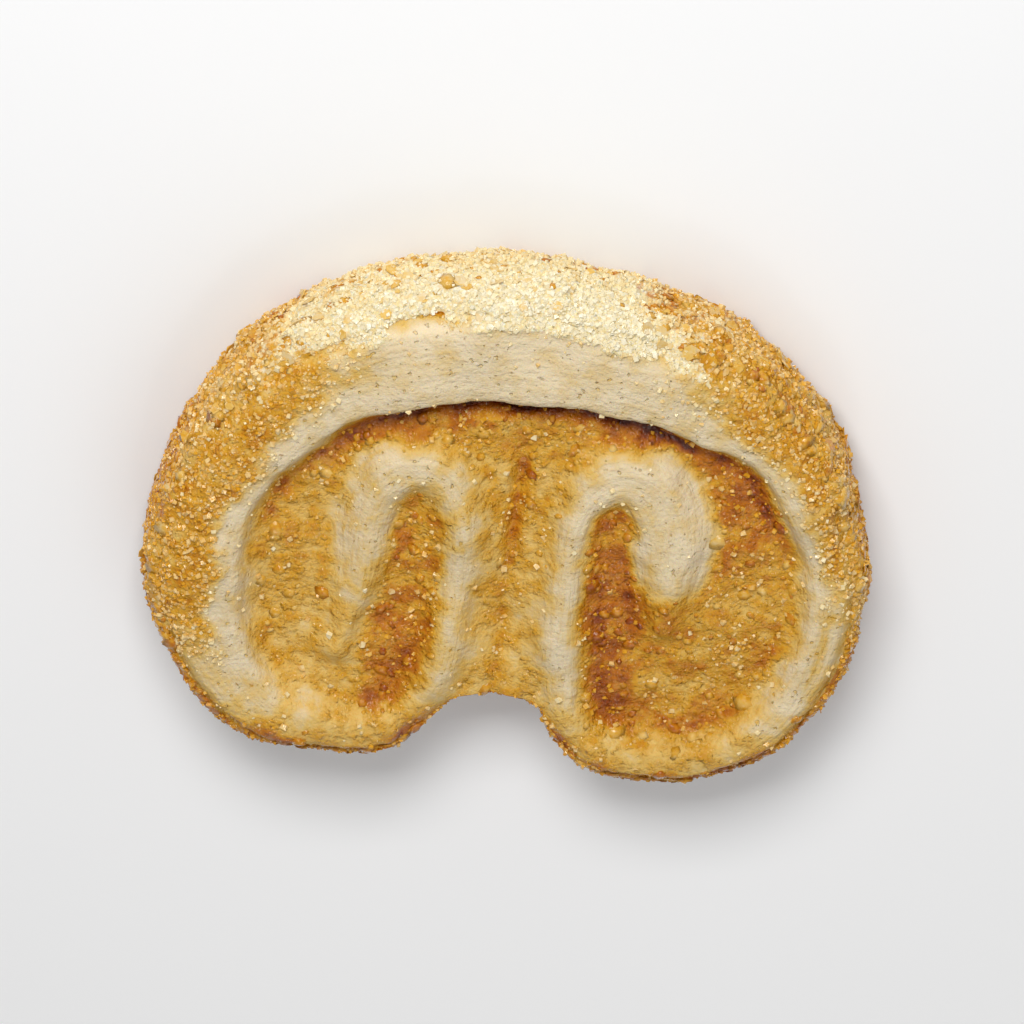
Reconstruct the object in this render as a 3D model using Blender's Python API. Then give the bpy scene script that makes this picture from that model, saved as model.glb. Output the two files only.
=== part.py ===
"""A palmier: one long strip of laminated dough, folded from both ends to the middle and baked lying flat.

Seen from above, the strip is a single line. It starts at a loose end inside the left lobe, turns over the left
ring, runs down the cleft, round the left lobe and over the wide arch, and goes the same way back into the right
lobe. The dough stands up as a rounded crest along that line, caramel fills the hollows between the folds, and
the same folds show on the underside, whose crests are flat where the pastry lay on its tray.

Metres, +Z up. The arch is at +Y, the two lobes meet at -Y, and the pastry rests on z = 0.
"""

import math
from collections import namedtuple

import bmesh
import bpy
import numpy as np
from mathutils import Vector, noise
from mathutils.geometry import delaunay_2d_cdt

# The line that the strip follows, in plan. Lobe sizes are distances from the cleft, and levels are along Y.
APEX = 0.0222
SIDE_LEVEL = -0.0060
OUTER_ROUNDNESS, CLEFT_ROUNDNESS = 2.05, 2.9
Lobe = namedtuple("Lobe", "reach half_side cleft lowest floor ring_level ring_top leg half_leg leg_foot leg_end")
LEFT = Lobe(0.0311, 0.0045, 0.0052, 0.0165, -0.0262, -0.0020, 0.0072, 0.0150, 0.0024, 0.0166, -0.0160)
RIGHT = Lobe(0.0329, 0.0025, 0.0055, 0.0172, -0.0268, -0.0005, 0.0086, 0.0156, 0.0036, 0.0160, -0.0100)

# Half the width of the dough where it is cut: at the arch's top, a lobe's floor, the cleft, the top of a ring and
# the loose end. Each lobe has its own at its side and at its ring's outer leg.
HALF_APEX, HALF_FLOOR, HALF_CLEFT = 0.0050, 0.0024, 0.0023
HALF_RING, HALF_END = 0.0033, 0.0017
ARCH_TAPER, RING_TAPER = 1.15, 1.5

# Heights above the tray.
THICKNESS = 0.0128
CREST_SHARE = 0.55
CREST_DOME = 0.0004
SHOULDER = 0.0011
SHOULDER_DROP = 0.0008
HOLLOW_DEPTH = 0.0023
CREVICE_DEPTH = 0.0012
CREVICE_WIDTH = 0.0027
ARCH_CLEAR = 0.0200
HOLLOW_BELOW = 0.0016
RIM_CHAMFER = 0.0010

# The rim swells between the two faces, and less beside the notch, below which the lobes part.
RIM_SWELL = 0.0016
RIM_RINGS = 4
RIM_FULLNESS = 0.6
NOTCH_LEVEL = -0.0215
NOTCH_RISE = 0.0012
NOTCH_SWELL = 0.0003
NOTCH_SIDE, SWELL_GROWTH = 0.0040, 0.0100
CLEFT_TOP, CLEFT_FADE = 0.0130, 0.0070

# Unevenness: how far it goes and over what length it changes.
SIDEWAYS, SIDEWAYS_LENGTH = 0.0009, 0.0150
UNEVEN_WIDTH, UNEVEN_WIDTH_LENGTH = 0.16, 0.0090
UNEVEN_HEIGHT, UNEVEN_HEIGHT_LENGTH = 0.0007, 0.0130
UNEVEN_RIM, UNEVEN_RIM_LENGTH = 0.0006, 0.0060

# The mesh's spacing along the strip, in the hollows, and the least distance between two points.
ALONG = 0.0014
HOLLOW_PITCH = 0.0024
LEAST_GAP = 0.0007
HOLLOW_GAP = 0.0013

DOUGH_COLOUR = (0.78, 0.56, 0.27, 1.0)


def smooth(share):
    """0 to 1 with no slope at either end."""
    share = np.clip(share, 0.0, 1.0)
    return share * share * (3 - 2 * share)


def wander(x, y, length, channel):
    """Even noise from about -1 to 1 that changes over the given length."""
    return noise.noise(Vector((x / length, y / length, 7.3 * channel)))


def superellipse(angle, power):
    """(cosine, sine) of a rounded box's outline, which is a circle at power 2."""
    cosine, sine = math.cos(angle), math.sin(angle)
    return (
        math.copysign(abs(cosine) ** (2 / power), cosine),
        math.copysign(abs(sine) ** (2 / power), sine),
    )


def lobe_line(lobe, turns=48):
    """Points (x, y, half width) from the apex, round one lobe on the +X side, to the loose end."""
    line = []
    for i in range(turns):
        share = i / turns
        angle = share * math.pi / 2
        half = HALF_APEX + (lobe.half_side - HALF_APEX) * smooth(ARCH_TAPER * share)
        y = SIDE_LEVEL + (APEX - SIDE_LEVEL) * math.cos(angle)
        line.append((lobe.reach * math.sin(angle), y, half))

    for i in range(turns):
        share = i / turns
        outer = share < 0.5
        across = (lobe.reach if outer else lobe.cleft) - lobe.lowest
        power = OUTER_ROUNDNESS if outer else CLEFT_ROUNDNESS
        cosine, sine = superellipse(share * math.pi, power)
        half = HALF_FLOOR + ((lobe.half_side if outer else HALF_CLEFT) - HALF_FLOOR) * abs(cosine)
        y = SIDE_LEVEL + (lobe.floor - SIDE_LEVEL) * sine
        line.append((lobe.lowest + across * abs(cosine), y, half))

    middle, across = (lobe.leg + lobe.cleft) / 2, (lobe.leg - lobe.cleft) / 2
    for i in range(turns + 1):
        share = i / turns
        sine = math.sin(share * math.pi)
        foot = HALF_CLEFT if share < 0.5 else lobe.half_leg
        half = foot + (HALF_RING - foot) * sine**RING_TAPER
        y = lobe.ring_level + (lobe.ring_top - lobe.ring_level) * sine
        line.append((middle - across * math.cos(share * math.pi), y, half))

    for i in range(1, turns + 1):
        share = i / turns
        half = lobe.half_leg + (HALF_END - lobe.half_leg) * share
        x = lobe.leg + (lobe.leg_foot - lobe.leg) * share**2
        line.append((x, lobe.ring_level + (lobe.leg_end - lobe.ring_level) * share, half))
    return line


def evenly_spaced(line, step):
    """The same line with a point at about every step."""
    line = np.array(line)
    lengths = np.linalg.norm(np.diff(line[:, :2], axis=0), axis=1)
    travelled = np.concatenate([[0], np.cumsum(lengths)])
    wanted = np.linspace(0, travelled[-1], round(travelled[-1] / step) + 1)
    return np.column_stack([np.interp(wanted, travelled, column) for column in line.T])


def left_normals(points):
    """Unit vectors to the left of the way along the points, which is the pastry's outside."""
    ahead = np.gradient(points, axis=0)
    ahead /= np.linalg.norm(ahead, axis=1, keepdims=True)
    return np.column_stack([-ahead[:, 1], ahead[:, 0]])


def strip_line():
    """The whole uneven line as rows of (x, y, half width), from the left loose end to the right one."""
    left = [(-x, y, half) for x, y, half in reversed(lobe_line(LEFT))]
    line = evenly_spaced(left + lobe_line(RIGHT)[1:], ALONG)
    drift = np.array([SIDEWAYS * wander(x, y, SIDEWAYS_LENGTH, 1) for x, y, _ in line])
    swell = np.array([UNEVEN_WIDTH * wander(x, y, UNEVEN_WIDTH_LENGTH, 2) for x, y, _ in line])
    line[:, :2] += left_normals(line[:, :2]) * drift[:, None]
    line[:, 2] *= 1 + swell
    return line


def beside(line, share, extra=0.0):
    """Even points to the left of the line, at a share of its half width and then a distance further."""
    offset = line[:, 2:] * share + math.copysign(extra, share)
    return evenly_spaced(line[:, :2] + left_normals(line[:, :2]) * offset, ALONG)


def loose_ends(line, extra=0.0):
    """Points round the two loose ends of the strip, at its edge and then a distance further."""
    points = []
    for end, before in ((line[0], line[1]), (line[-1], line[-2])):
        ahead = math.atan2(end[1] - before[1], end[0] - before[0])
        for turn in np.linspace(-math.pi / 2, math.pi / 2, 7):
            reach = end[2] + extra
            points.append((end[0] + reach * math.cos(ahead + turn), end[1] + reach * math.sin(ahead + turn)))
    return np.array(points)


def outline_of(line):
    """The pastry's edge where its faces meet the rim: the strip's outer edge, closed across the notch."""
    edge = beside(line, 1.0)
    lobes_parted = np.flatnonzero(edge[:, 1] < NOTCH_LEVEL)
    edge = edge[lobes_parted[0] : lobes_parted[-1] + 1]
    closing = []
    for share in (0.2, 0.4, 0.6, 0.8):
        x, y = edge[-1] + (edge[0] - edge[-1]) * share
        closing.append((x, y + NOTCH_RISE * math.sin(math.pi * share)))
    return np.vstack([edge, closing])


def inside(points, outline):
    """Which of the points lie in the outline, by counting its crossings to their right."""
    x, y = points[:, :1], points[:, 1:]
    start, end = outline, np.roll(outline, -1, axis=0)
    spans = (start[:, 1] > y) != (end[:, 1] > y)
    rise = np.where(start[:, 1] == end[:, 1], 1e-12, end[:, 1] - start[:, 1])
    crossing = start[:, 0] + (y - start[:, 1]) / rise * (end[:, 0] - start[:, 0])
    return (spans & (x < crossing)).sum(axis=1) % 2 == 1


def hollow_grid(outline):
    """Staggered points over the whole outline, for the hollows."""
    low, high = outline.min(axis=0), outline.max(axis=0)
    rows = np.arange(low[1], high[1], HOLLOW_PITCH * 0.87)
    return np.array(
        [
            (x + HOLLOW_PITCH / 2 * (row % 2), y)
            for row, y in enumerate(rows)
            for x in np.arange(low[0], high[0], HOLLOW_PITCH)
        ]
    )


def thinned(groups, outline):
    """The groups' points inside the outline, leaving out each one that is within its group's gap of an earlier one."""
    kept = list(outline)
    for group, gap in groups:
        for point in group[inside(group, outline)]:
            if np.linalg.norm(np.array(kept) - point, axis=1).min() > gap:
                kept.append(point)
    return np.array(kept)


def plan_points(line, outline):
    """Every point of the plan: the outline first, then the crest's lines, the hollows' feet and the hollows."""
    levels = np.arange(CLEFT_TOP, NOTCH_LEVEL, -ALONG)
    strip_lines = [
        line[:, :2],
        beside(line, 1.0),
        beside(line, -1.0),
        beside(line, CREST_SHARE),
        beside(line, -CREST_SHARE),
        loose_ends(line),
        np.column_stack([np.zeros(len(levels)), levels]),
        beside(line, 1.0, SHOULDER),
        beside(line, -1.0, SHOULDER),
        loose_ends(line, SHOULDER),
    ]
    groups = [(points, LEAST_GAP) for points in strip_lines]
    return thinned([*groups, (hollow_grid(outline), HOLLOW_GAP)], outline)


def past_edge(points, line):
    """For each point, how far it is outside the dough's edge (negative within), and the nearest row of the line."""
    gaps = np.linalg.norm(points[:, None] - line[None, :, :2], axis=2)
    nearest = (gaps - line[:, 2]).argmin(axis=1)
    rows = np.arange(len(points))
    return gaps[rows, nearest] - line[nearest, 2], nearest


def upper_heights(points, line):
    """The upper face: rounded crests, hollows of caramel, and a deeper crevice under the arch and in the cleft."""
    edge, nearest = past_edge(points, line)
    dome = CREST_DOME * np.clip(1 + edge / line[nearest, 2], 0, 1) ** 2
    shoulder = SHOULDER_DROP * smooth(1 + edge / SHOULDER)
    slope = (HOLLOW_DEPTH - SHOULDER_DROP) * smooth(edge / SHOULDER)
    arch = (line[nearest, 1] > SIDE_LEVEL) & (np.hypot(*line[nearest, :2].T) > ARCH_CLEAR)
    under_arch = np.clip(1 - np.abs(edge - SHOULDER) / CREVICE_WIDTH, 0, 1) * arch
    below_top = smooth((CLEFT_TOP - points[:, 1]) / CLEFT_FADE)
    in_cleft = np.clip(1 - np.abs(points[:, 0]) / CREVICE_WIDTH, 0, 1) * below_top
    crevice = CREVICE_DEPTH * np.maximum(under_arch, in_cleft) * smooth(edge / SHOULDER)
    uneven = [UNEVEN_HEIGHT * wander(x, y, UNEVEN_HEIGHT_LENGTH, 3) for x, y in points]
    return THICKNESS - dome - shoulder - slope - crevice + np.array(uneven)


def lower_heights(points, line):
    """The underside: crests flat on the tray, with shallow hollows between and a chamfer along the rim."""
    edge, _ = past_edge(points, line)
    return HOLLOW_BELOW * smooth(0.5 + edge / SHOULDER / 2)


def rim_ring(outline, low, high, level):
    """The outline at one level of the rim, from 0 at the underside to 1 at the upper face, swollen outwards."""
    outwards = left_normals(np.vstack([outline[-1:], outline, outline[:1]]))[1:-1]
    off_cleft = smooth((np.abs(outline[:, 0]) - NOTCH_SIDE) / SWELL_GROWTH)
    lowered = smooth((SIDE_LEVEL - outline[:, 1]) / SWELL_GROWTH)
    swell = NOTCH_SWELL + (RIM_SWELL - NOTCH_SWELL) * np.maximum(off_cleft, 1 - lowered)
    uneven = [wander(x + level * UNEVEN_RIM_LENGTH, y, UNEVEN_RIM_LENGTH, 4) for x, y in outline]
    bulge = math.sin(math.pi * level) ** RIM_FULLNESS
    out = bulge * (swell + UNEVEN_RIM * np.array(uneven) * swell / RIM_SWELL)
    return np.column_stack([outline + outwards * out[:, None], low + (high - low) * level])


def palmier_mesh():
    """The closed mesh: both faces share one plan, and rings of quads make the rim between them."""
    line = strip_line()
    outline = outline_of(line)
    points = plan_points(line, outline)
    border = list(range(len(outline)))
    plan, _, triangles, sources, _, _ = delaunay_2d_cdt(
        [Vector(point) for point in points], [], [border], 1, 1e-7
    )
    plan_row = {source: row for row, came_from in enumerate(sources) for source in came_from}
    border = [plan_row[source] for source in border]
    plan = np.array([tuple(point) for point in plan])
    upper, lower = upper_heights(plan, line), lower_heights(plan, line)
    lower[border] = np.maximum(lower[border], RIM_CHAMFER)

    mesh = bmesh.new()
    above = [mesh.verts.new((x, y, z)) for (x, y), z in zip(plan, upper)]
    below = [mesh.verts.new((x, y, z)) for (x, y), z in zip(plan, lower)]
    for triangle in triangles:
        mesh.faces.new([above[row] for row in triangle])
        mesh.faces.new([below[row] for row in reversed(triangle)])

    rings = [[below[row] for row in border]]
    for level in np.linspace(0, 1, RIM_RINGS + 2)[1:-1]:
        ring = rim_ring(plan[border], lower[border], upper[border], level)
        rings.append([mesh.verts.new(point) for point in ring])
    rings.append([above[row] for row in border])
    for under, over in zip(rings, rings[1:]):
        for i in range(len(border)):
            mesh.faces.new((under[i - 1], under[i], over[i], over[i - 1]))

    bmesh.ops.recalc_face_normals(mesh, faces=mesh.faces)
    return mesh


def centred(mesh):
    """Moves the mesh so that its box is centred on the Z axis and stands on z = 0."""
    spots = np.array([tuple(vertex.co) for vertex in mesh.verts])
    low, high = spots.min(axis=0), spots.max(axis=0)
    shift = Vector((-(low[0] + high[0]) / 2, -(low[1] + high[1]) / 2, -low[2]))
    bmesh.ops.translate(mesh, verts=mesh.verts, vec=shift)


def baked_dough():
    material = bpy.data.materials.new("baked_dough")
    material.use_nodes = True
    shader = material.node_tree.nodes["Principled BSDF"]
    shader.inputs["Base Color"].default_value = DOUGH_COLOUR
    shader.inputs["Roughness"].default_value = 0.6
    shader.inputs["Metallic"].default_value = 0.0
    return material


def palmier():
    mesh = palmier_mesh()
    centred(mesh)
    data = bpy.data.meshes.new("palmier")
    mesh.to_mesh(data)
    mesh.free()
    data.shade_smooth()
    data.materials.append(baked_dough())
    pastry = bpy.data.objects.new("palmier", data)
    bpy.context.scene.collection.objects.link(pastry)


for existing in list(bpy.data.objects):
    bpy.data.objects.remove(existing, do_unlink=True)
palmier()
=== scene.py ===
"""The looks of a palmier: a strip of laminated dough folded from both ends to the middle, baked in caramel.

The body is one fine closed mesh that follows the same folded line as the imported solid. Grains of sugar,
beads of caramel and flakes of crust lie on it as pieces of their own. All sizes are metres, and the arch
is at +Y.
"""

import math
from collections import namedtuple

import bpy
import numpy as np
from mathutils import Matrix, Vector, noise


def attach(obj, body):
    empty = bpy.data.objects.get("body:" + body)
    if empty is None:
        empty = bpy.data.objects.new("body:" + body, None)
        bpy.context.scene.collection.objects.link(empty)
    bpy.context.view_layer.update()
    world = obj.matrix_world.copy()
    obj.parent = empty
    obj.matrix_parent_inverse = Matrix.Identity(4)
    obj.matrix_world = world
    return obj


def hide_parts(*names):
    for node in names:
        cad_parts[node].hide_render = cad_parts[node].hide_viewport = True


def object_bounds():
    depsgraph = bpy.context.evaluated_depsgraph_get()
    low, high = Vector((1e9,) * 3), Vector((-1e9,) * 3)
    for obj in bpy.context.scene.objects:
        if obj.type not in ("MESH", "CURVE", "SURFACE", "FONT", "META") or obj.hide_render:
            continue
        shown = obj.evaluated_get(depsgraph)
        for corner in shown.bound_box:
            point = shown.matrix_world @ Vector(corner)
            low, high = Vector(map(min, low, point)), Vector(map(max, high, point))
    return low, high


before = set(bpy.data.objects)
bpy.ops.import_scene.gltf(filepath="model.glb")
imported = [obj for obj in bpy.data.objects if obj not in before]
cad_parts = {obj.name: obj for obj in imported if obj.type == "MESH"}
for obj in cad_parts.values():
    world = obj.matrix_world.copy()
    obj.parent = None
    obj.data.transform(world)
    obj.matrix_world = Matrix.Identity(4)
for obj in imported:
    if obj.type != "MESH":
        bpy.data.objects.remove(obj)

CAD_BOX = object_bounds()

# ---- The folded line, as the solid has it --------------------------------------------------------
APEX = 0.0222
SIDE_LEVEL = -0.0060
OUTER_ROUNDNESS, CLEFT_ROUNDNESS = 2.05, 2.9
Lobe = namedtuple(
    "Lobe", "reach half_side cleft lowest floor ring_level ring_top leg half_leg leg_foot leg_end"
)
LEFT = Lobe(0.0311, 0.0045, 0.0052, 0.0165, -0.0262, -0.0020, 0.0072, 0.0150, 0.0024, 0.0166, -0.0160)
RIGHT = Lobe(0.0329, 0.0025, 0.0055, 0.0172, -0.0268, -0.0005, 0.0086, 0.0156, 0.0036, 0.0160, -0.0100)
HALF_APEX, HALF_FLOOR, HALF_CLEFT = 0.0050, 0.0024, 0.0023
HALF_RING, HALF_END = 0.0033, 0.0017
ARCH_TAPER, RING_TAPER = 1.15, 1.5
SIDEWAYS, SIDEWAYS_LENGTH = 0.0009, 0.0150
UNEVEN_WIDTH, UNEVEN_WIDTH_LENGTH = 0.16, 0.0090
NOTCH_LEVEL, NOTCH_RISE = -0.0215, 0.0012
CLEFT_TOP, CLEFT_FADE = 0.0130, 0.0070

# ---- The body ------------------------------------------------------------------------------------
THICKNESS = 0.0128
CELL = 0.00034
LINE_STEP = 0.0005
RIM_ROWS = 36
RIM_SWELL, NOTCH_SWELL = 0.0016, 0.0004
NOTCH_SIDE, SWELL_GROWTH = 0.0040, 0.0100
RIM_POWER = 2.5
HOLLOW_DEPTH, LUMPS_IN_HOLLOW = 0.0023, 0.0009
CREVICE_DEPTH, PIT_DEPTH, SEAM_DEPTH = 0.0014, 0.0004, 0.00022
DOME, SHOULDER = 0.0005, 0.0006
UNDER_HOLLOW, LEAST_EDGE = 0.0016, 0.0009
INNER_FROM = 0.62
EVENING_ROUNDS = 12
FEW_POINTS = 4000
LATTICE = 64


def smooth(share):
    """0 to 1 with no slope at either end."""
    share = np.clip(share, 0.0, 1.0)
    return share * share * (3 - 2 * share)


def ramp(value, low, high):
    """0 at low and 1 at high, smoothly."""
    return smooth((value - low) / (high - low))


def ripple(points, length, seed):
    """Smooth noise from -1 to 1 at these points, changing over the given length."""
    table = np.random.default_rng(seed).uniform(-1, 1, (LATTICE, LATTICE, LATTICE))
    spot = np.asarray(points, float) / length + 0.37 * seed
    base = np.floor(spot).astype(int)
    share = smooth(spot - base)
    total = 0.0
    for corner in np.ndindex(2, 2, 2):
        weight = np.prod(np.where(corner, share, 1 - share), axis=1)
        index = (base + corner) % LATTICE
        total = total + weight * table[index[:, 0], index[:, 1], index[:, 2]]
    return total


def rough(points, length, seed, octaves=3):
    """Noise with finer and finer detail, from about -1 to 1."""
    return sum(0.5**i * ripple(points, length / 2**i, seed + 11 * i) for i in range(octaves)) / 1.5


def wander(x, y, length, channel):
    """The solid's own unevenness, from about -1 to 1."""
    return noise.noise(Vector((x / length, y / length, 7.3 * channel)))


def superellipse(angle, power):
    """(cosine, sine) of a rounded box's outline, which is a circle at power 2."""
    cosine, sine = math.cos(angle), math.sin(angle)
    return (
        math.copysign(abs(cosine) ** (2 / power), cosine),
        math.copysign(abs(sine) ** (2 / power), sine),
    )


def lobe_line(lobe, turns=48):
    """Rows (x, y, half width, layer) from the apex, round one lobe on the +X side, to the loose end."""
    line = []
    for i in range(turns):
        share = i / turns
        angle = share * math.pi / 2
        half = HALF_APEX + (lobe.half_side - HALF_APEX) * smooth(ARCH_TAPER * share)
        y = SIDE_LEVEL + (APEX - SIDE_LEVEL) * math.cos(angle)
        line.append((lobe.reach * math.sin(angle), y, half, 0))

    for i in range(turns):
        share = i / turns
        outer = share < 0.5
        across = (lobe.reach if outer else lobe.cleft) - lobe.lowest
        power = OUTER_ROUNDNESS if outer else CLEFT_ROUNDNESS
        cosine, sine = superellipse(share * math.pi, power)
        half = HALF_FLOOR + ((lobe.half_side if outer else HALF_CLEFT) - HALF_FLOOR) * abs(cosine)
        y = SIDE_LEVEL + (lobe.floor - SIDE_LEVEL) * sine
        line.append((lobe.lowest + across * abs(cosine), y, half, share))

    middle, across = (lobe.leg + lobe.cleft) / 2, (lobe.leg - lobe.cleft) / 2
    for i in range(turns + 1):
        share = i / turns
        sine = math.sin(share * math.pi)
        foot = HALF_CLEFT if share < 0.5 else lobe.half_leg
        half = foot + (HALF_RING - foot) * sine**RING_TAPER
        y = lobe.ring_level + (lobe.ring_top - lobe.ring_level) * sine
        line.append((middle - across * math.cos(share * math.pi), y, half, 1 + share))

    for i in range(1, turns + 1):
        share = i / turns
        half = lobe.half_leg + (HALF_END - lobe.half_leg) * share
        x = lobe.leg + (lobe.leg_foot - lobe.leg) * share**2
        y = lobe.ring_level + (lobe.leg_end - lobe.ring_level) * share
        line.append((x, y, half, 2 + share))
    return line


def evenly_spaced(line, step):
    """The same line with a point at about every step."""
    line = np.array(line)
    lengths = np.linalg.norm(np.diff(line[:, :2], axis=0), axis=1)
    travelled = np.concatenate([[0], np.cumsum(lengths)])
    wanted = np.linspace(0, travelled[-1], round(travelled[-1] / step) + 1)
    return np.column_stack([np.interp(wanted, travelled, column) for column in line.T])


def left_normals(points):
    """Unit vectors to the left of the way along the points, which is the strip's outer side."""
    ahead = np.gradient(points, axis=0)
    ahead /= np.linalg.norm(ahead, axis=1, keepdims=True)
    return np.column_stack([-ahead[:, 1], ahead[:, 0]])


def strip_line():
    """The whole uneven line: rows of x, y, half width and layer, which is 0 on the arch, up to 1 round the
    lobe, up to 2 round the ring and up to 3 at the loose end."""
    left = [(-x, y, half, layer) for x, y, half, layer in reversed(lobe_line(LEFT))]
    line = evenly_spaced(left + lobe_line(RIGHT)[1:], LINE_STEP)
    drift = np.array([SIDEWAYS * wander(x, y, SIDEWAYS_LENGTH, 1) for x, y in line[:, :2]])
    swell = np.array([UNEVEN_WIDTH * wander(x, y, UNEVEN_WIDTH_LENGTH, 2) for x, y in line[:, :2]])
    line[:, :2] += left_normals(line[:, :2]) * drift[:, None]
    line[:, 2] *= 1 + swell
    return line


def outline_of(line):
    """The edge where the faces meet the rim: the strip's outer edge, closed across the notch."""
    edge = evenly_spaced(line[:, :2] + left_normals(line[:, :2]) * line[:, 2:3], CELL)
    lobes_parted = np.flatnonzero(edge[:, 1] < NOTCH_LEVEL)
    edge = edge[lobes_parted[0] : lobes_parted[-1] + 1]
    closing = []
    for share in np.linspace(0, 1, 40)[1:-1]:
        x, y = edge[-1] + (edge[0] - edge[-1]) * share
        closing.append((x, y + NOTCH_RISE * math.sin(math.pi * share)))
    return np.vstack([edge, closing])


def inside(points, outline):
    """Which of the points lie in the outline, by counting its crossings to their right."""
    start, end = outline, np.roll(outline, -1, axis=0)
    rise = np.where(start[:, 1] == end[:, 1], 1e-12, end[:, 1] - start[:, 1])
    found = []
    for part in np.array_split(points, max(1, len(points) // FEW_POINTS)):
        x, y = part[:, :1], part[:, 1:]
        spans = (start[:, 1] > y) != (end[:, 1] > y)
        crossing = start[:, 0] + (y - start[:, 1]) / rise * (end[:, 0] - start[:, 0])
        found.append((spans & (x < crossing)).sum(axis=1) % 2 == 1)
    return np.concatenate(found)


def nearest_rows(points, line):
    """How far each point is outside the dough's edge (negative within), and the line's nearest row."""
    edges, rows = [], []
    for part in np.array_split(points, max(1, len(points) // FEW_POINTS)):
        gaps = np.hypot(part[:, :1] - line[:, 0], part[:, 1:2] - line[:, 1]) - line[:, 2]
        nearest = gaps.argmin(axis=1)
        edges.append(gaps[np.arange(len(part)), nearest])
        rows.append(nearest)
    return np.concatenate(edges), np.concatenate(rows)


def border_loop(cells):
    """The grid points round the kept cells, in order, as (row, column) pairs."""
    ahead = {}
    for row, column in np.argwhere(cells):
        corners = [(row, column), (row, column + 1), (row + 1, column + 1), (row + 1, column)]
        beyond = [(row - 1, column), (row, column + 1), (row + 1, column), (row, column - 1)]
        for i, neighbour in enumerate(beyond):
            if not cells[neighbour]:
                ahead[corners[i]] = corners[(i + 1) % 4]
    start = next(iter(ahead))
    loop = [start]
    while ahead[loop[-1]] != start:
        loop.append(ahead[loop[-1]])
    return loop


def fitted_border(spots, outline):
    """Places on the outline for the grid's border points, evened out along it: all x, then all y."""
    gaps = np.linalg.norm(spots[:, None] - outline[None], axis=2)
    place = np.unwrap(gaps.argmin(axis=1) * 2 * np.pi / len(outline))
    place = place * len(outline) / (2 * np.pi)
    turns = round((place[-1] - place[0]) / len(outline)) * len(outline)
    for _ in range(EVENING_ROUNDS):
        before = np.roll(place, 1)
        before[0] -= turns
        after = np.roll(place, -1)
        after[-1] += turns
        place = (before + 2 * place + after) / 4
    closed = np.vstack([outline, outline[:1]])
    place = place % len(outline)
    return [np.interp(place, np.arange(len(closed)), column) for column in closed.T]


def relax(x, y, free):
    """Moves each free point of the grid towards the middle of its four neighbours."""
    for _ in range(EVENING_ROUNDS):
        for grid in (x, y):
            around = (grid[:-2, 1:-1] + grid[2:, 1:-1] + grid[1:-1, :-2] + grid[1:-1, 2:]) / 4
            grid[1:-1, 1:-1] = np.where(free[1:-1, 1:-1], around, grid[1:-1, 1:-1])


def plan_grid(outline):
    """A square grid fitted to the outline: points, cells as four point rows each, and the border's rows."""
    low = outline.min(axis=0) - 3 * CELL
    across, up = np.ceil((outline.max(axis=0) + 3 * CELL - low) / CELL).astype(int)
    x, y = np.meshgrid(low[0] + CELL * np.arange(across + 1), low[1] + CELL * np.arange(up + 1))
    middles = np.column_stack([(x[:-1, :-1] + CELL / 2).ravel(), (y[:-1, :-1] + CELL / 2).ravel()])
    cells = inside(middles, outline).reshape(up, across)

    rows, columns = np.array(border_loop(cells)).T
    spots = np.column_stack([x[rows, columns], y[rows, columns]])
    x[rows, columns], y[rows, columns] = fitted_border(spots, outline)
    used = np.zeros(x.shape, bool)
    for down, right in np.ndindex(2, 2):
        used[down : down + up, right : right + across] |= cells
    free = used.copy()
    free[rows, columns] = False
    relax(x, y, free)

    row_of = np.full(x.shape, -1)
    row_of[used] = np.arange(used.sum())
    corners = [row_of[:-1, :-1], row_of[:-1, 1:], row_of[1:, 1:], row_of[1:, :-1]]
    quads = np.stack([corner[cells] for corner in corners], axis=1)
    return np.column_stack([x[used], y[used]]), quads, row_of[rows, columns]


Plan = namedtuple("Plan", "points outer inner layer along across")


def measured(points, line):
    """Where each point of the plan lies: its gaps to the outer strip and to the inner one, its place on the
    strip nearest to it, and how far it is across that strip, from -1 inside to 1 at the outer edge."""
    layer = line[:, 3]
    outer, _ = nearest_rows(points, line[layer < INNER_FROM])
    inner, _ = nearest_rows(points, line[layer >= INNER_FROM])
    _, row = nearest_rows(points, line)
    normals = left_normals(line[:, :2])
    offset = ((points - line[row, :2]) * normals[row]).sum(axis=1) / line[row, 2]
    return Plan(points, outer, inner, layer[row], row * LINE_STEP, np.clip(offset, -1.3, 1.3))


def in_cores(x, y):
    """1 in the two hollows that the rings close round, and 0 elsewhere."""
    found = 0.0
    for lobe, side in ((LEFT, -x), (RIGHT, x)):
        between = ramp(side, lobe.cleft, lobe.cleft + 0.0022) * (1 - ramp(side, lobe.leg - 0.0022, lobe.leg))
        found = found + between * (1 - ramp(y, lobe.ring_level, lobe.ring_top))
    return found


Marks = namedtuple("Marks", "flat outer inner sides hollow below_top cleft crevice pit seam")


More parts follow.
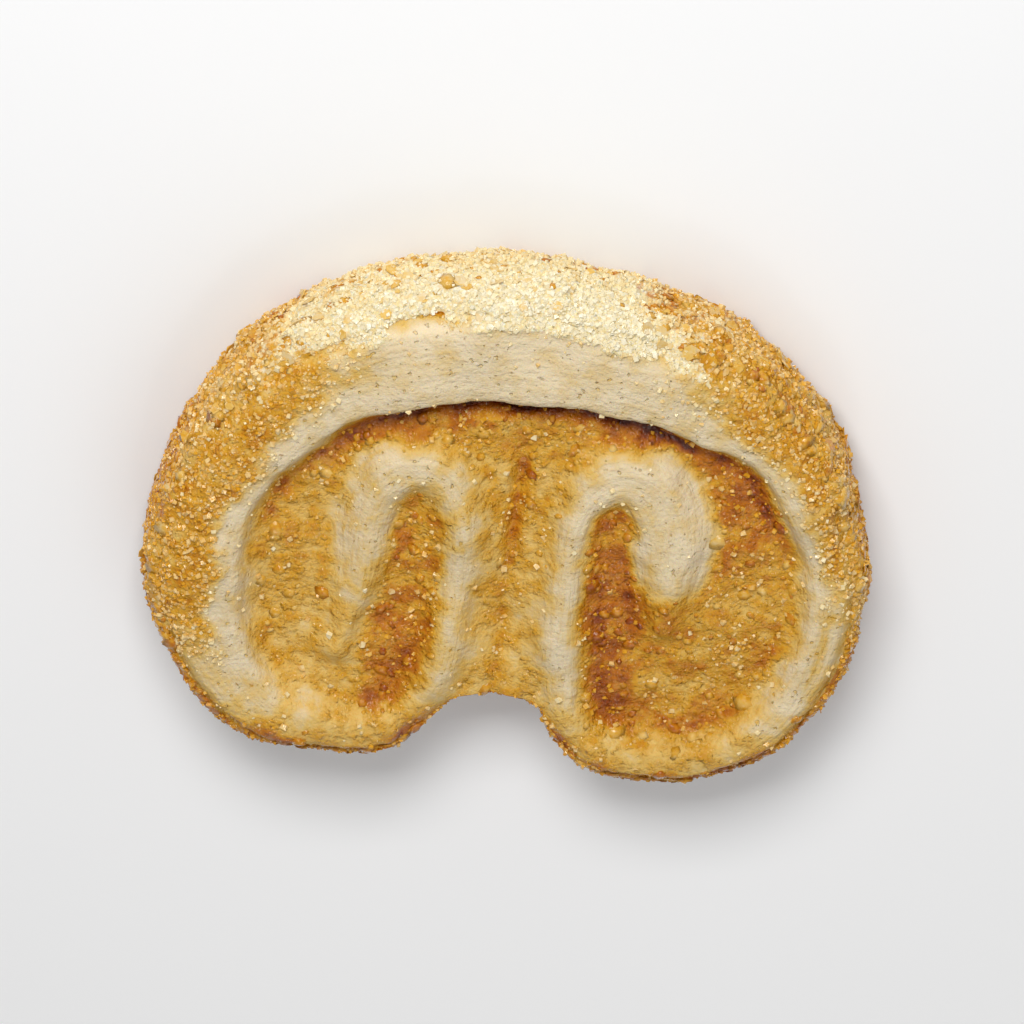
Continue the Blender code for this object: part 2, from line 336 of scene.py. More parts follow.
def face_marks(plan):
    """What shapes and colours the upper face: uneven gaps to the strips, then the hollows, the cleft, every
    crevice, the dark pit at the cleft's top and the seams where layers part, each from 0 to 1. The cleft,
    the crevices and the pit are darkened with painted shade, and the seams are browned."""
    flat = np.column_stack([plan.points, np.zeros(len(plan.points))])
    waver = 0.0005 * rough(flat, 0.0045, 3) + 0.00022 * rough(flat, 0.0012, 4)
    outer, inner = plan.outer + waver, plan.inner + waver
    x, y = plan.points.T

    sides = ramp(np.abs(x + 0.003 * rough(flat, 0.0080, 15)), 0.006, 0.020)
    hollow = ramp(outer, -0.0006 - 0.0008 * sides, 0.0010 + 0.0010 * sides) * ramp(inner, -0.0022, 0.0018)
    below_top = smooth((CLEFT_TOP - y) / CLEFT_FADE)
    cleft = np.exp(-((x / 0.0010) ** 2)) * below_top * (inner > 0)
    cleft = cleft * (0.45 + 0.55 * ramp(y, -0.010, 0.010))
    # The crevices under the arch and down the cleft are deepened and also darkened with painted shade further
    # on.
    under_arch = np.exp(-(((outer - 0.0011) / 0.0008) ** 2))
    under_arch = under_arch * ramp(y, -0.004, 0.006) * ramp(inner, 0.0, 0.002)
    crevice = np.clip(np.maximum(0.8 * cleft, under_arch * (0.85 - 0.70 * sides)), 0, 1)
    pit = np.exp(-((x / 0.0026) ** 2) - ((outer - 0.0012) / 0.0011) ** 2) * (y > 0.010)
    seam = np.exp(-(((plan.across - 0.1) / 0.22) ** 2)) * ramp(ripple(flat, 0.0110, 16), -0.1, 0.7)
    seam = seam * (outer < 0) * ramp(np.abs(x), 0.010, 0.022)
    return Marks(flat, outer, inner, sides, hollow, below_top, cleft, crevice, pit, seam)


def upper_height(plan, marks):
    """Heights of the upper face."""
    flat, hollow = marks.flat, marks.hollow
    nearest = np.minimum(marks.outer, marks.inner)
    lumps = (0.00030 * rough(flat, 0.0030, 5) + 0.00016 * rough(flat, 0.0010, 6, 2)) * hollow
    dome = DOME * np.clip(1 + nearest / 0.0030, 0, 1) ** 2
    shoulder = SHOULDER * ramp(marks.outer, -0.0011, 0.0)
    swells = np.array([0.0007 * wander(a, b, 0.0130, 3) for a, b in plan.points])
    swells += 0.00035 * ripple(flat, 0.006, 8) + 0.00007 * rough(flat, 0.0014, 9, 2)
    height = THICKNESS + swells + lumps - dome - shoulder - SEAM_DEPTH * marks.seam
    depth = (HOLLOW_DEPTH - LUMPS_IN_HOLLOW) * hollow + CREVICE_DEPTH * marks.crevice
    return height - (depth + PIT_DEPTH * marks.pit)


def caramel_fill(plan, marks, patches):
    """How brown the caramel between the strips is, from about 0 to 1."""
    x, y = plan.points.T
    outer, inner = marks.outer, marks.inner
    wide = ripple(marks.flat, 0.0100, 13)
    filled = 0.49 + 0.09 * patches + 0.05 * wide
    filled = filled + 0.34 * np.exp(-np.abs(outer) / 0.0040) * ramp(y, -0.010, 0.008)
    beside_dough = np.exp(-(((np.minimum(outer, inner) - 0.0014) / 0.0010) ** 2))
    filled += 0.10 * beside_dough * ramp(wide, -0.4, 0.4)
    beside_cleft = 0.10 * np.exp(-((x / 0.0045) ** 2)) * marks.below_top
    return filled + (0.18 * in_cores(x, y) - beside_cleft - 0.08 * ramp(-x, 0.0, 0.02))


def bare_dough(plan, marks, patches):
    """How brown the strip itself is, from about 0 to 1."""
    x, y = plan.points.T
    inner = marks.inner
    bottom = ramp(-y, 0.0165, 0.0270)
    bare = 0.04 + 0.05 * patches + 0.08 * ramp(-x, 0.0, 0.006) * (inner < 0) + 0.03 * (inner < 0)
    bare = bare + (0.34 + 0.14 * patches) * bottom
    outer_half = ramp(plan.across + 0.3 * patches, 0.3, 0.9) * (marks.outer < 0)
    bare = bare + 0.28 * outer_half * ramp(-y, -0.006, 0.006)
    loose_end = ramp(plan.layer + 0.3 * patches, 1.95, 2.7)
    return bare + 0.20 * marks.seam + (0.15 + 0.30 * (x > 0)) * loose_end


def upper_browning_and_shade(plan, marks):
    """How browned each point of the upper face is, with painted shade in its crevices, cleft and pit, from
    about 0 to 1.
    """
    x, y = plan.points.T
    flat, sides = marks.flat, marks.sides
    stain = 0.0007 * rough(flat, 0.0075, 10, 4) + 0.0005 * rough(flat, 0.0022, 11)
    broad = ramp(np.abs(x), 0.0100, 0.0150) * ramp(plan.layer, 1.4, 1.8) * (1 - ramp(plan.layer, 2.4, 2.9))
    broad = (0.0016 + 0.0006 * (x > 0)) * broad
    caramel = ramp(marks.outer, -0.0006 - 0.0010 * sides, 0.0008 + 0.0008 * sides)
    caramel = caramel * ramp(marks.inner + stain - broad, -0.0024, 0.0006)
    patches = rough(flat, 0.0050, 12)
    filled = caramel_fill(plan, marks, patches)
    bare = bare_dough(plan, marks, patches)
    browning = bare + (filled + 0.10 * ramp(-y, 0.0165, 0.0270) - bare) * caramel
    # Painted shade: the crevices, the cleft and the pit are darkened here, on top of the caramel's own brown.
    return browning + 0.32 * marks.crevice + 0.08 * marks.cleft + 0.35 * marks.pit


def sugared_edge(plan):
    """How far the rim's crust spreads over the arch's face: (pale sugar, browned sugar), each from 0 to 1."""
    flat = np.column_stack([plan.points, np.zeros(len(plan.points))])
    x, y = plan.points.T
    across = plan.across + 0.35 * rough(flat, 0.0040, 14) + 0.25 * rough(flat, 0.0014, 17, 2)
    on_arch = (plan.layer < 0.05) * ramp(y, -0.010, 0.002)
    right = ramp(x, 0.0100, 0.0220) * on_arch
    left = ramp(-x, 0.0150, 0.0250) * (plan.outer < plan.inner) * ramp(y, -0.022, -0.012)
    browned = np.maximum(right * ramp(across, -0.5, 0.25), left * ramp(across, -0.35, 0.05))
    pale = ramp(across, 0.80, 1.05) * on_arch * (1 - right) * (1 - left)
    return pale, browned


def lower_face(plan):
    """Heights of the underside, which is flat where the crests lay on the tray, and its browning."""
    flat = np.column_stack([plan.points, np.ones(len(plan.points))])
    edge = np.minimum(plan.outer, plan.inner) + 0.0004 * rough(flat, 0.004, 21)
    hollow = ramp(edge, -0.0011, 0.0011)
    height = UNDER_HOLLOW * hollow + 0.00012 * (1 + rough(flat, 0.0025, 22)) * hollow
    browning = 0.50 + 0.12 * rough(flat, 0.0060, 23) + 0.26 * ramp(edge, -0.0006, 0.0012)
    return height, browning


def rim_rings(low, high, outline):
    """Rings of points up the rim, swollen outwards, between the underside's edge and the upper face's."""
    around = np.vstack([outline[-3:], outline, outline[:3]])
    outwards = -left_normals(around)[3:-3]
    for _ in range(6):
        outwards = (np.roll(outwards, 1, axis=0) + 2 * outwards + np.roll(outwards, -1, axis=0)) / 4
    x, y = outline.T
    off_cleft = smooth((np.abs(x) - NOTCH_SIDE) / SWELL_GROWTH)
    swell = NOTCH_SWELL + (RIM_SWELL - NOTCH_SWELL) * np.maximum(off_cleft, 1 - ramp(-y, 0.006, 0.016))
    crusted = ramp(y, -0.004, 0.010)
    rings = []
    for row in range(1, RIM_ROWS):
        cosine, sine = superellipse(math.pi * row / RIM_ROWS, RIM_POWER)
        height = low + (high - low) * (1 - cosine) / 2
        spots = np.column_stack([outline, height])
        lumps = 0.0005 * rough(spots, 0.0060, 31) + 0.00020 * rough(spots, 0.0018, 32, 2)
        clumps = 0.00075 * ramp(rough(spots, 0.0024, 34, 2), -0.2, 0.6) * crusted
        ledges = 0.00005 * np.sin(height / 0.00033 + 4 * ripple(spots, 0.007, 33)) * (1 - crusted)
        out = sine * (swell + lumps * swell / RIM_SWELL + ledges + clumps)
        rings.append(np.column_stack([outline + outwards * out[:, None], height]))
    return rings


def rim_finish(spots):
    """The rim's (browning, pale sugar), each from 0 to 1."""
    x, y, z = spots.T
    patches = rough(spots, 0.0060, 35)
    level = z / THICKNESS
    top = ramp(y + 0.003 * patches, -0.002, 0.012)
    right = ramp(x + 0.006 * patches, 0.0060, 0.0250)
    left = ramp(-x - 0.006 * patches, 0.0130, 0.0320)
    pale = np.clip(top * (1 - right) * (1 - 0.8 * left) * (0.55 + 0.6 * level + 0.2 * patches), 0, 1)
    browning = 0.46 + 0.14 * patches + 0.30 * (1 - level) * (1 - 0.6 * top) + 0.14 * ramp(-y, 0.004, 0.022)
    return browning, pale


def body_mesh():
    """The whole closed body: (points, faces, attributes by name)."""
    line = strip_line()
    outline = outline_of(line)
    points, quads, border = plan_grid(outline)
    plan = measured(points, line)
    marks = face_marks(plan)
    # The upper face's browning, with painted shade in its crevices, cleft and pit.
    upper, brown_and_shade_above = upper_height(plan, marks), upper_browning_and_shade(plan, marks)
    pale_edge, brown_edge = sugared_edge(plan)
    brown_and_shade_above = brown_and_shade_above + (0.50 - brown_and_shade_above) * brown_edge
    crust_above = np.maximum(pale_edge, brown_edge)
    grit = rough(np.column_stack([points, np.zeros(len(points))]), 0.0013, 18, 2)
    upper = upper + (0.00030 + 0.00030 * grit) * crust_above
    lower, brown_below = lower_face(plan)
    lower[border] = np.maximum(lower[border], LEAST_EDGE)
    rings = rim_rings(lower[border], upper[border], points[border])
    brown_rim, pale_rim = rim_finish(np.vstack(rings))

    count, around = len(points), len(border)
    spots = np.vstack([np.column_stack([points, upper]), np.column_stack([points, lower]), *rings])
    loops = [border + count]
    loops += [2 * count + around * i + np.arange(around) for i in range(len(rings))]
    loops.append(border)
    sides = [
        np.stack([low, np.roll(low, -1), np.roll(high, -1), high], axis=1)
        for low, high in zip(loops, loops[1:])
    ]
    faces = np.vstack([quads, quads[:, ::-1] + count, *sides])
    on_rim = around * len(rings)
    attributes = {
        # On the upper face this browning includes painted shade in the crevices, cleft and pit.
        "browning": np.concatenate([brown_and_shade_above, brown_below, brown_rim]),
        "pale_sugar": np.concatenate([pale_edge, np.zeros(count), pale_rim]),
        "crust": np.concatenate([crust_above, np.zeros(count), np.ones(on_rim)]),
        "crevice": np.concatenate([marks.crevice, np.zeros(count + on_rim)]),
        "along": np.concatenate([plan.along, plan.along, np.tile(plan.along[border], len(rings))]),
        "across": np.concatenate([plan.across, plan.across, np.tile(plan.across[border], len(rings))]),
        "above": np.concatenate([np.ones(count), np.zeros(count), np.zeros(on_rim)]),
    }
    return spots, faces, attributes


def made(name, spots, faces, attributes, smoothly=True):
    """A mesh object of these points and faces, with each attribute on its points."""
    mesh = bpy.data.meshes.new(name)
    mesh.from_pydata(spots.tolist(), [], faces.tolist())
    for label, values in attributes.items():
        layer = mesh.attributes.new(label, "FLOAT", "POINT")
        layer.data.foreach_set("value", np.asarray(values, np.float32))
    if smoothly:
        mesh.shade_smooth()
    piece = bpy.data.objects.new(name, mesh)
    bpy.context.scene.collection.objects.link(piece)
    return piece


def centre_on_cad(spots):
    """The shift that puts the body's box where the solid's box is."""
    low, high = spots.min(axis=0), spots.max(axis=0)
    cad_low, cad_high = (np.array(corner) for corner in CAD_BOX)
    shift = (cad_low + cad_high - low - high) / 2
    shift[2] = cad_low[2] - low[2]
    return shift


# ---- Grains, beads and flakes --------------------------------------------------------------------
CUBE = np.array([(x, y, z) for z in (-1, 1) for y in (-1, 1) for x in (-1, 1)], float)
CUBE_FACES = np.array([(0, 2, 3, 1), (4, 5, 7, 6), (0, 1, 5, 4), (2, 6, 7, 3), (0, 4, 6, 2), (1, 3, 7, 5)])
GRAIN_SIZE, BEAD_SIZE, FLAKE_SIZE = 0.00014, 0.00046, 0.00042
BEAD_RINGS, BEAD_TURNS = 4, 6
FLOOR_CLEARANCE, TRAY_SIDE = 0.0003, 0.0012
# Densities, in pieces on each square metre.
PALE_SUGAR, RIM_SUGAR, FACE_SUGAR = 8.0e6, 3.0e6, 5.0e6
CARAMEL_SUGAR, STRAY_SUGAR = 1.1e6, 0.10e6
CARAMEL_BEADS, RIM_BEADS = 0.35e6, 1.0e6
RIM_FLAKES, CREVICE_FLAKES = 0.20e6, 0.25e6


def spread_over(spots, faces, density, random):
    """Random places on the quads, as many as the density at each point (per square metre) gives: (places,
    normals, the row of a point near each)."""
    corners = spots[faces]
    cross = np.cross(corners[:, 2] - corners[:, 0], corners[:, 3] - corners[:, 1])
    size = np.linalg.norm(cross, axis=1)
    expected = size / 2 * density[faces].mean(axis=1)
    chosen = np.repeat(np.arange(len(faces)), random.poisson(expected))
    u, v = random.random((2, len(chosen), 1))
    a, b, c, d = (corners[chosen, i] for i in range(4))
    places = (a * (1 - u) + b * u) * (1 - v) + (d * (1 - u) + c * u) * v
    return places, cross[chosen] / size[chosen, None], faces[chosen, 0]


def turned(normals, random):
    """For each normal a rotation whose third column is that normal, with a random turn about it."""
    helper = random.normal(size=normals.shape)
    first = np.cross(helper, normals)
    first /= np.linalg.norm(first, axis=1, keepdims=True)
    return np.stack([first, np.cross(normals, first), normals], axis=2)


def any_turn(count, random):
    """This many random rotations."""
    axes = random.normal(size=(count, 3))
    return turned(axes / np.linalg.norm(axes, axis=1, keepdims=True), random)


def strewn(shape, faces, places, turns, sizes, jitter, random):
    """Copies of a small shape at these places: (points, faces, the copy's number at each point)."""
    count, corners = len(places), len(shape)
    bent = shape[None] * (1 + jitter * random.uniform(-1, 1, (count, corners, 3)))
    local = bent * sizes[:, None, :]
    spots = np.einsum("nij,nkj->nki", turns, local) + places[:, None]
    shifted = faces[None] + corners * np.arange(count)[:, None, None]
    return spots.reshape(-1, 3), shifted.reshape(-1, faces.shape[1]), np.repeat(np.arange(count), corners)


def above_floor(places, sizes):
    """Which grains stay clear of the surface that the pastry lies on."""
    return places[:, 2] > sizes.max(axis=1) + FLOOR_CLEARANCE


def crystals(name, spots, faces, density, tint, size, random):
    """Angular grains of sugar lying on the body, each with its own tint."""
    places, normals, rows = spread_over(spots, faces, density, random)
    scale = size * np.clip(np.exp(random.normal(0, 0.35, (len(places), 1))), 0.5, 1.8)
    sizes = scale * random.uniform(0.7, 1.15, (len(places), 3))
    keep = above_floor(places, sizes)
    places, normals, rows, sizes = places[keep], normals[keep], rows[keep], sizes[keep]
    sunk = random.uniform(-0.6, 0.5, (len(places), 1))
    places = places + normals * sizes.mean(axis=1, keepdims=True) * sunk
    turns = any_turn(len(places), random)
    points, quads, copy = strewn(CUBE, CUBE_FACES, places, turns, sizes, 0.34, random)
    shade = np.clip(tint[rows] + random.normal(0, 1, len(places)) * (0.04 + 0.10 * tint[rows]), 0, 1)
    return made(name, points, quads, {"tint": shade[copy]}, smoothly=False)


def ball(rings, turns):
    """The points of a round bead, from its lowest up."""
    points = [(0, 0, -1)]
    for i in range(1, rings):
        level = math.pi * i / rings
        for j in range(turns):
            angle = 2 * math.pi * (j + i / 2) / turns
            out = math.sin(level)
            points.append((out * math.cos(angle), out * math.sin(angle), -math.cos(level)))
    points.append((0, 0, 1))
    return np.array(points)


def ball_faces(rings, turns):
    """The triangles between those points."""
    faces = []
    for j in range(turns):
        ahead = (j + 1) % turns
        faces.append((0, 1 + ahead, 1 + j))
        for i in range(rings - 2):
            low, high = 1 + i * turns, 1 + (i + 1) * turns
            faces.append((low + j, low + ahead, high + ahead))
            faces.append((low + j, high + ahead, high + j))
        last = 1 + (rings - 2) * turns
        faces.append((last + j, last + ahead, 1 + (rings - 1) * turns))
    return np.array(faces)


def beads(name, spots, faces, density, tint, size, random):
    """Half-melted lumps of caramel, sunk in the body, each with its own tint."""
    places, normals, rows = spread_over(spots, faces, density, random)
    scale = size * np.clip(np.exp(random.normal(0, 0.40, (len(places), 1))), 0.4, 2.0)
    wide = random.uniform(0.7, 1.5, (len(places), 2))
    sizes = scale * np.column_stack([wide, random.uniform(0.28, 0.50, len(places))])
    keep = above_floor(places, sizes)
    places, normals, rows, sizes = places[keep], normals[keep], rows[keep], sizes[keep]
    turns = turned(normals, random)
    places = places - normals * 0.45 * sizes[:, 2:]
    shape, triangles = ball(BEAD_RINGS, BEAD_TURNS), ball_faces(BEAD_RINGS, BEAD_TURNS)
    points, triangles, copy = strewn(shape, triangles, places, turns, sizes, 0.22, random)
    shade = np.clip(tint[rows] + random.normal(0, 0.07, len(places)), 0, 1)
    return made(name, points, triangles, {"tint": shade[copy]})


def shard():
    """A thin bent flake with six corners: (points, faces)."""
    angles = np.arange(6) * math.pi / 3
    ring = np.column_stack([np.cos(angles), np.sin(angles), 0.25 * np.cos(2 * angles)])
    points = np.vstack([ring - (0, 0, 1), ring + (0, 0, 1)])
    faces = [(3, 2, 1, 0), (5, 4, 3, 0), (6, 7, 8, 9), (6, 9, 10, 11)]
    faces += [(i, (i + 1) % 6, (i + 1) % 6 + 6, i + 6) for i in range(6)]
    return points, np.array(faces)


def flakes(name, spots, faces, density, tint, size, random):
    """Crisp shards of crust that lie nearly flat on the body."""
    places, normals, rows = spread_over(spots, faces, density, random)
    scale = size * np.clip(np.exp(random.normal(0, 0.35, (len(places), 1))), 0.5, 1.7)
    sizes = scale * np.column_stack([random.uniform(0.6, 1.3, (len(places), 2)), np.full(len(places), 0.09)])
    keep = above_floor(places, sizes)
    places, normals, rows, sizes = places[keep], normals[keep], rows[keep], sizes[keep]
    lean = normals + random.normal(0, 0.30, normals.shape)
    turns = turned(lean / np.linalg.norm(lean, axis=1, keepdims=True), random)
    points, quads, copy = strewn(*shard(), places + normals * 0.00006, turns, sizes, 0.25, random)
    shade = np.clip(tint[rows] + random.normal(0, 0.08, len(places)), 0, 1)
    return made(name, points, quads, {"tint": shade[copy]}, smoothly=False)


# ---- Materials -----------------------------------------------------------------------------------
BAKED = [
    (0.00, (0.760, 0.625, 0.405)),
    (0.16, (0.710, 0.540, 0.280)),
    (0.32, (0.710, 0.460, 0.120)),
    (0.50, (0.640, 0.320, 0.020)),
    (0.70, (0.480, 0.150, 0.002)),
    (0.88, (0.270, 0.050, 0.001)),
    (1.00, (0.100, 0.014, 0.001)),
]
SUGARED = [
    (0.00, (0.830, 0.770, 0.590)),
    (0.25, (0.810, 0.670, 0.370)),
    (0.60, (0.700, 0.350, 0.018)),
    (1.00, (0.440, 0.130, 0.003)),
]


class Finish:
    """One procedural material, built by methods that add nodes to it."""

    def __init__(self, name, roughness=0.5, coat=0.0, coat_roughness=0.03):
        self.material = bpy.data.materials.new(name)
        self.material.use_nodes = True
        self.tree = self.material.node_tree
        self.shader = self.tree.nodes["Principled BSDF"]
        self.shader.inputs["Roughness"].default_value = roughness
        self.shader.inputs["Coat Weight"].default_value = coat
        self.shader.inputs["Coat Roughness"].default_value = coat_roughness
        self.place = self.add("TexCoord").outputs["Object"]

    def add(self, kind, inputs=(), **settings):
        added = self.tree.nodes.new("ShaderNode" + kind)
        for name, value in settings.items():
            setattr(added, name, value)
        for socket, value in dict(inputs).items():
            self.feed(added.inputs[socket], value)
        return added

    def feed(self, socket, value):
        if isinstance(value, bpy.types.NodeSocket):
            self.tree.links.new(value, socket)
        else:
            socket.default_value = value

    def reads(self, name):
        return self.add("Attribute", attribute_name=name).outputs["Fac"]

    def noise(self, length, detail=3.0, place=None, stretch=0.5):
        inputs = {"Vector": place or self.place, "Scale": 1 / length, "Detail": detail, "Roughness": stretch}
        return self.add("TexNoise", inputs).outputs["Fac"]

    def cells(self, length, feature="F1", place=None):
        inputs = {"Vector": place or self.place, "Scale": 1 / length}
        return self.add("TexVoronoi", inputs, feature=feature).outputs["Distance"]

    def maths(self, operation, first, second=0.0, clamped=False):
        return self.add("Math", {0: first, 1: second}, operation=operation, use_clamp=clamped).outputs[0]

    def ramp(self, value, low, high, start=0.0, end=1.0):
        inputs = {"Value": value, "From Min": low, "From Max": high, "To Min": start, "To Max": end}
        return self.add("MapRange", inputs, interpolation_type="SMOOTHSTEP").outputs["Result"]

    def colours(self, value, stops):
        ramp = self.add("ValToRGB", {"Fac": value})
        elements = ramp.color_ramp.elements
        while len(elements) < len(stops):
            elements.new(1.0)
        for element, (position, colour) in zip(elements, stops):
            element.position = position
            element.color = (*colour, 1)
        return ramp.outputs["Color"]

    def mix(self, share, first, second):
        mixed = self.add("Mix", data_type="RGBA")
        self.feed(mixed.inputs["Factor"], share)
        for name, value in (("A", first), ("B", second)):
            socket = next(s for s in mixed.inputs if s.name == name and s.type == "RGBA")
            self.feed(socket, value)
        return next(s for s in mixed.outputs if s.type == "RGBA")

    def glows(self, weight):
        """Light that spreads a little way under the surface, warmest furthest in."""
        self.shader.inputs["Subsurface Weight"].default_value = weight
        self.shader.inputs["Subsurface Radius"].default_value = (0.0010, 0.0006, 0.0002)
        self.shader.inputs["Subsurface Scale"].default_value = 1.0

    def raised(self, height, distance, normal=None):
        inputs = {"Height": height, "Distance": distance, "Strength": 1.0}
        if normal:
            inputs["Normal"] = normal
        return self.add("Bump", inputs).outputs["Normal"]


def dough_tone(finish, browning, above):
    """How brown the surface is, painted crease shade included, with mottles, streaks and pores: (tone, fine
    noise, streaks, pores).
    """
    broad = finish.noise(0.0026, 4.0)
    fine = finish.noise(0.00050, 3.0)
    tone = finish.maths("ADD", browning, finish.ramp(broad, 0.28, 0.72, -0.13, 0.13))
    mottled = finish.maths("ADD", finish.noise(0.0011, 2.0), finish.maths("MULTIPLY", fine, 0.6))
    loud = finish.ramp(browning, 0.08, 0.40, 0.06, 0.28)
    tone = finish.maths("ADD", tone, finish.maths("MULTIPLY", finish.maths("SUBTRACT", mottled, 0.8), loud))

    over = finish.maths("MULTIPLY", finish.reads("across"), 0.02)
    strand = finish.add("CombineXYZ", {"X": finish.reads("along"), "Y": over}).outputs[0]
    bare = finish.ramp(browning, 0.22, 0.38, 1.0, 0.0)
    streaks = finish.maths("MULTIPLY", finish.noise(0.0032, 4.0, strand), bare)
    tone = finish.maths("ADD", tone, finish.ramp(streaks, 0.40, 0.75, 0.0, 0.10))

    pores = finish.ramp(finish.noise(0.0007, 1.5), 0.66, 0.74)
    pores = finish.maths("MULTIPLY", finish.maths("MULTIPLY", pores, bare), above)
    tone = finish.maths("ADD", tone, finish.maths("MULTIPLY", pores, 0.16), clamped=True)
    return tone, fine, streaks, pores


def dough_relief(finish, grainy, fine, streaks, pores):
    """Bumps: melted lumps and specks where it is grainy, then pores, streaks and a fine tooth all over."""
    melted = finish.maths("ADD", finish.cells(0.00100, "SMOOTH_F1"), finish.noise(0.0016, 1.0))
    melted = finish.ramp(melted, 0.3, 1.4, 1.0, 0.0)
    normal = finish.raised(finish.maths("MULTIPLY", melted, grainy), 0.00028)
    specks = finish.ramp(finish.cells(0.00040), 0.0, 0.6, 1.0, 0.0)
    normal = finish.raised(finish.maths("MULTIPLY", specks, grainy), 0.00010, normal)
    normal = finish.raised(finish.maths("SUBTRACT", fine, pores), 0.00020, normal)
    normal = finish.raised(streaks, 0.00020, normal)
    normal = finish.raised(finish.noise(0.00020, 2.0), 0.00006, normal)
    finish.feed(finish.shader.inputs["Normal"], normal)
    finish.feed(finish.shader.inputs["Coat Normal"], normal)


def dough_finish():
    """Pale dough with pores, which browns into glossy caramel, with a sandy crust where sugar lies on it."""
    finish = Finish("baked_dough", coat_roughness=0.07)
    # The browning attribute holds painted shade in the upper face's crevices, cleft and pit as well.
    tone, fine, streaks, pores = dough_tone(finish, finish.reads("browning"), finish.reads("above"))
    caramel = finish.ramp(tone, 0.30, 0.52)
    baked = finish.colours(tone, BAKED)
    sand = finish.maths("ADD", finish.cells(0.00042), finish.noise(0.0012))
    sandy = finish.colours(finish.ramp(sand, 0.55, 1.25, 0.0, 0.30), SUGARED)
    uneven = finish.ramp(finish.noise(0.0014), 0.3, 0.7, -0.25, 0.25)
    sugar = finish.maths("ADD", finish.reads("pale_sugar"), uneven)
    sugar = finish.ramp(sugar, 0.30, 0.62)
    finish.feed(finish.shader.inputs["Base Color"], finish.mix(sugar, baked, sandy))

    gloss = finish.maths("MULTIPLY", caramel, finish.maths("SUBTRACT", 1.0, sugar))
    finish.feed(finish.shader.inputs["Roughness"], finish.ramp(gloss, 0.0, 1.0, 0.65, 0.40))
    finish.feed(finish.shader.inputs["Coat Weight"], finish.ramp(gloss, 0.2, 1.0, 0.0, 0.65))
    finish.feed(finish.shader.inputs["Specular IOR Level"], finish.ramp(gloss, 0.0, 1.0, 0.35, 0.04))
    finish.glows(0.20)
    grainy = finish.maths("MAXIMUM", caramel, finish.reads("crust"))
    dough_relief(finish, grainy, fine, streaks, pores)
    return finish.material


def crystal_finish(name, stops, roughness, coat):
    """Grains, beads or flakes: the tint of each one, clouded inside, and shinier where it is browned."""
    finish = Finish(name, roughness, coat, coat_roughness=0.06)
    cloud = finish.ramp(finish.noise(0.0005, 2.0), 0.3, 0.7, -0.08, 0.08)
    tint = finish.maths("ADD", finish.reads("tint"), cloud, clamped=True)
    finish.feed(finish.shader.inputs["Roughness"], finish.ramp(tint, 0.25, 0.55, roughness, 0.18))
    finish.feed(finish.shader.inputs["Coat Weight"], finish.ramp(tint, 0.25, 0.55, coat, 0.75))
    finish.shader.inputs["Specular IOR Level"].default_value = 0.12
    finish.feed(finish.shader.inputs["Base Color"], finish.colours(tint, stops))
    normal = finish.raised(finish.noise(0.00014, 2.0), 0.00004)
    finish.feed(finish.shader.inputs["Normal"], normal)
    finish.feed(finish.shader.inputs["Coat Normal"], normal)
    return finish.material


def floor_finish():
    """Matt near-white."""
    finish = Finish("floor", 0.6)
    finish.shader.inputs["Base Color"].default_value = (0.92, 0.92, 0.92, 1)
    return finish.material


# ---- Studio --------------------------------------------------------------------------------------
FLOOR_GAP = 0.00005
SKY_STRENGTH = 0.32


def camera_at(target, tilt, turn, distance, lens):
    """The camera leans over the arch's side, tilt degrees from straight above, with the arch at the top."""
    camera = bpy.data.objects.new("camera", bpy.data.cameras.new("camera"))
    camera.data.lens = lens
    camera.rotation_euler = (math.radians(-tilt), 0, math.radians(turn))
    bpy.context.scene.collection.objects.link(camera)
    bpy.context.view_layer.update()
    back = camera.matrix_world.to_3x3() @ Vector((0, 0, 1))
    camera.location = Vector(target) + back * distance
    bpy.context.scene.camera = camera


def area_light(name, place, size, power, colour=(1, 1, 1)):
    """A soft light of this size that points at the pastry."""
    light = bpy.data.lights.new(name, "AREA")
    light.shape = "RECTANGLE"
    light.size, light.size_y = size
    light.energy = power
    light.color = colour
    lamp = bpy.data.objects.new(name, light)
    lamp.location = place
    lamp.rotation_euler = (-Vector(place)).to_track_quat("-Z", "Y").to_euler()
    bpy.context.scene.collection.objects.link(lamp)
    return lamp


def studio():
    """A white floor, a white sky and three lights, of which the glint shows in reflections only."""
    bpy.ops.mesh.primitive_plane_add(size=4)
    floor = bpy.context.object
    floor.name = "floor"
    floor.location.z = -FLOOR_GAP
    floor.data.materials.append(floor_finish())
    world = bpy.data.worlds.new("soft_white")
    world.use_nodes = True
    sky = world.node_tree.nodes["Background"]
    sky.inputs["Color"].default_value = (1, 1, 1, 1)
    sky.inputs["Strength"].default_value = SKY_STRENGTH
    bpy.context.scene.world = world
    area_light("key", (-0.10, 0.42, 0.36), (0.26, 0.18), 2.6)
    area_light("fill", (0.25, -0.30, 0.45), (0.5, 0.5), 0.6)
    glint = area_light("glint", (0.06, -0.32, 0.52), (0.06, 0.06), 0.75)
    glint.visible_diffuse = False
    bpy.context.scene.view_settings.view_transform = "Standard"


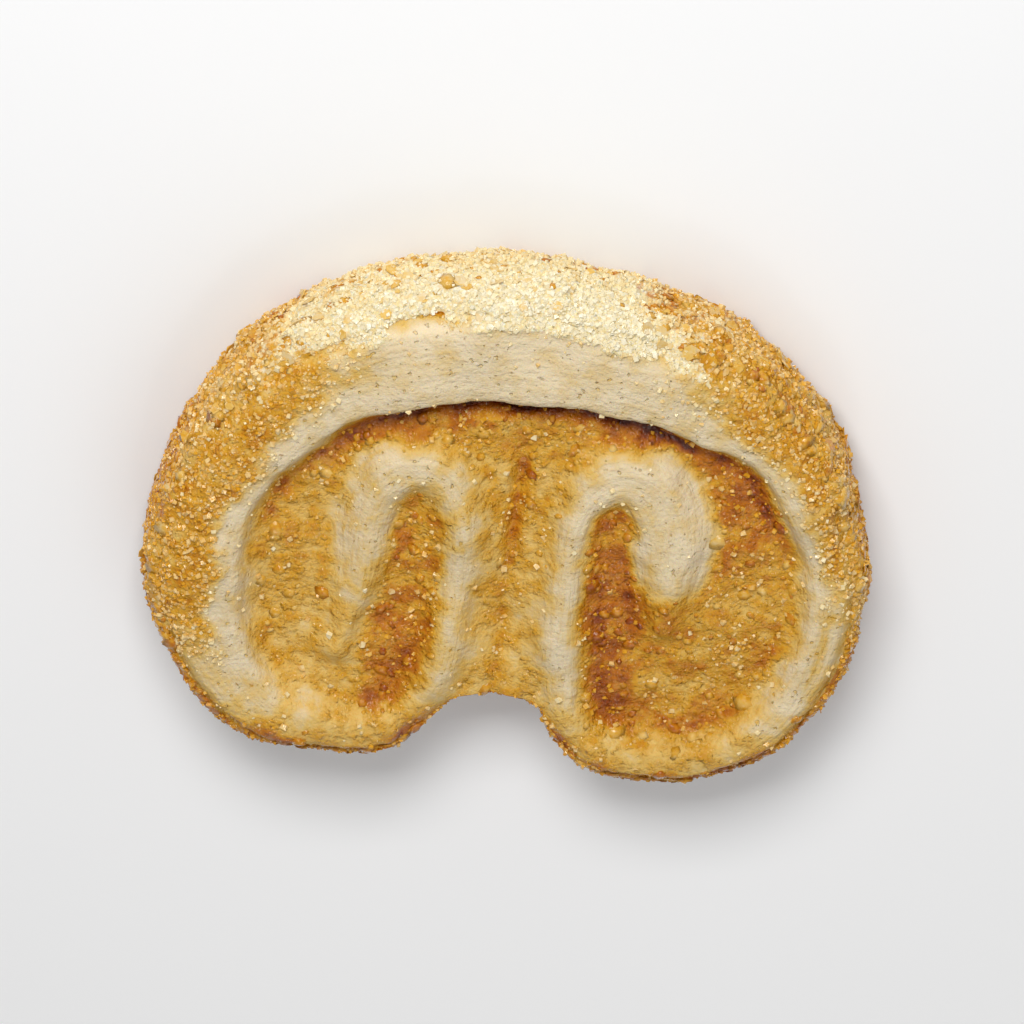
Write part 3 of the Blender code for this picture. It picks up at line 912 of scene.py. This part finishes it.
def pastry_body():
    """The body as a piece, and its points, faces and attributes for what lies on it."""
    spots, faces, attributes = body_mesh()
    spots += centre_on_cad(spots)
    body = made("palmier_body", spots, faces, attributes)
    body.data.materials.append(dough_finish())
    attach(body, "root")
    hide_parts("palmier")
    return spots, faces, attributes


def sprinkle(spots, faces, attributes):
    """Grains, then beads, then flakes on the body, drawn from one seeded random source in this order."""
    browning, pale = attributes["browning"], attributes["pale_sugar"]
    crust, above, crevice = attributes["crust"], attributes["above"], attributes["crevice"]
    facing = spots[:, 2] > TRAY_SIDE
    rim = crust * facing * (1 - above)
    face_crust = crust * above

    random = np.random.default_rng(7)
    grainy = 0.10 + 0.90 * ramp(rough(spots, 0.0060, 41), -0.2, 0.4)
    filled = ramp(browning, 0.36, 0.56) * above * (1 - crust) * (1 - 0.8 * ramp(crevice, 0.2, 0.6))
    density = PALE_SUGAR * pale * facing + RIM_SUGAR * rim * (1 - pale)
    density += FACE_SUGAR * face_crust * (1 - pale)
    density += CARAMEL_SUGAR * filled * grainy + STRAY_SUGAR * above * facing
    brown_tint = np.clip(browning + 0.03, 0.30, 0.80)
    tint = 0.07 * pale + brown_tint * (1 - pale) - 0.10 * filled
    sugar = crystals("sugar_grains", spots, faces, density, np.clip(tint, 0, 1), GRAIN_SIZE, random)
    sugar.data.materials.append(crystal_finish("sugar", SUGARED, 0.28, 0.4))
    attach(sugar, "root")

    density = CARAMEL_BEADS * filled + RIM_BEADS * rim * (1 - pale) * ramp(browning, 0.3, 0.5)
    lumps = beads("caramel_beads", spots, faces, density, browning, BEAD_SIZE, random)
    lumps.data.materials.append(crystal_finish("caramel", BAKED, 0.25, 0.8))
    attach(lumps, "root")

    density = RIM_FLAKES * rim + CREVICE_FLAKES * crevice * above
    # Flakes in the crevices take their dark tint partly from the painted shade there.
    tint = browning * 0.9 * (1 - pale) + 0.15 * pale
    shards = flakes("crust_flakes", spots, faces, density, tint, FLAKE_SIZE, random)
    shards.data.materials.append(crystal_finish("flakes", BAKED, 0.5, 0.1))
    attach(shards, "root")


sprinkle(*pastry_body())
studio()
camera_at(target=(0, 0, 0.006), tilt=35, turn=6, distance=0.70, lens=240)
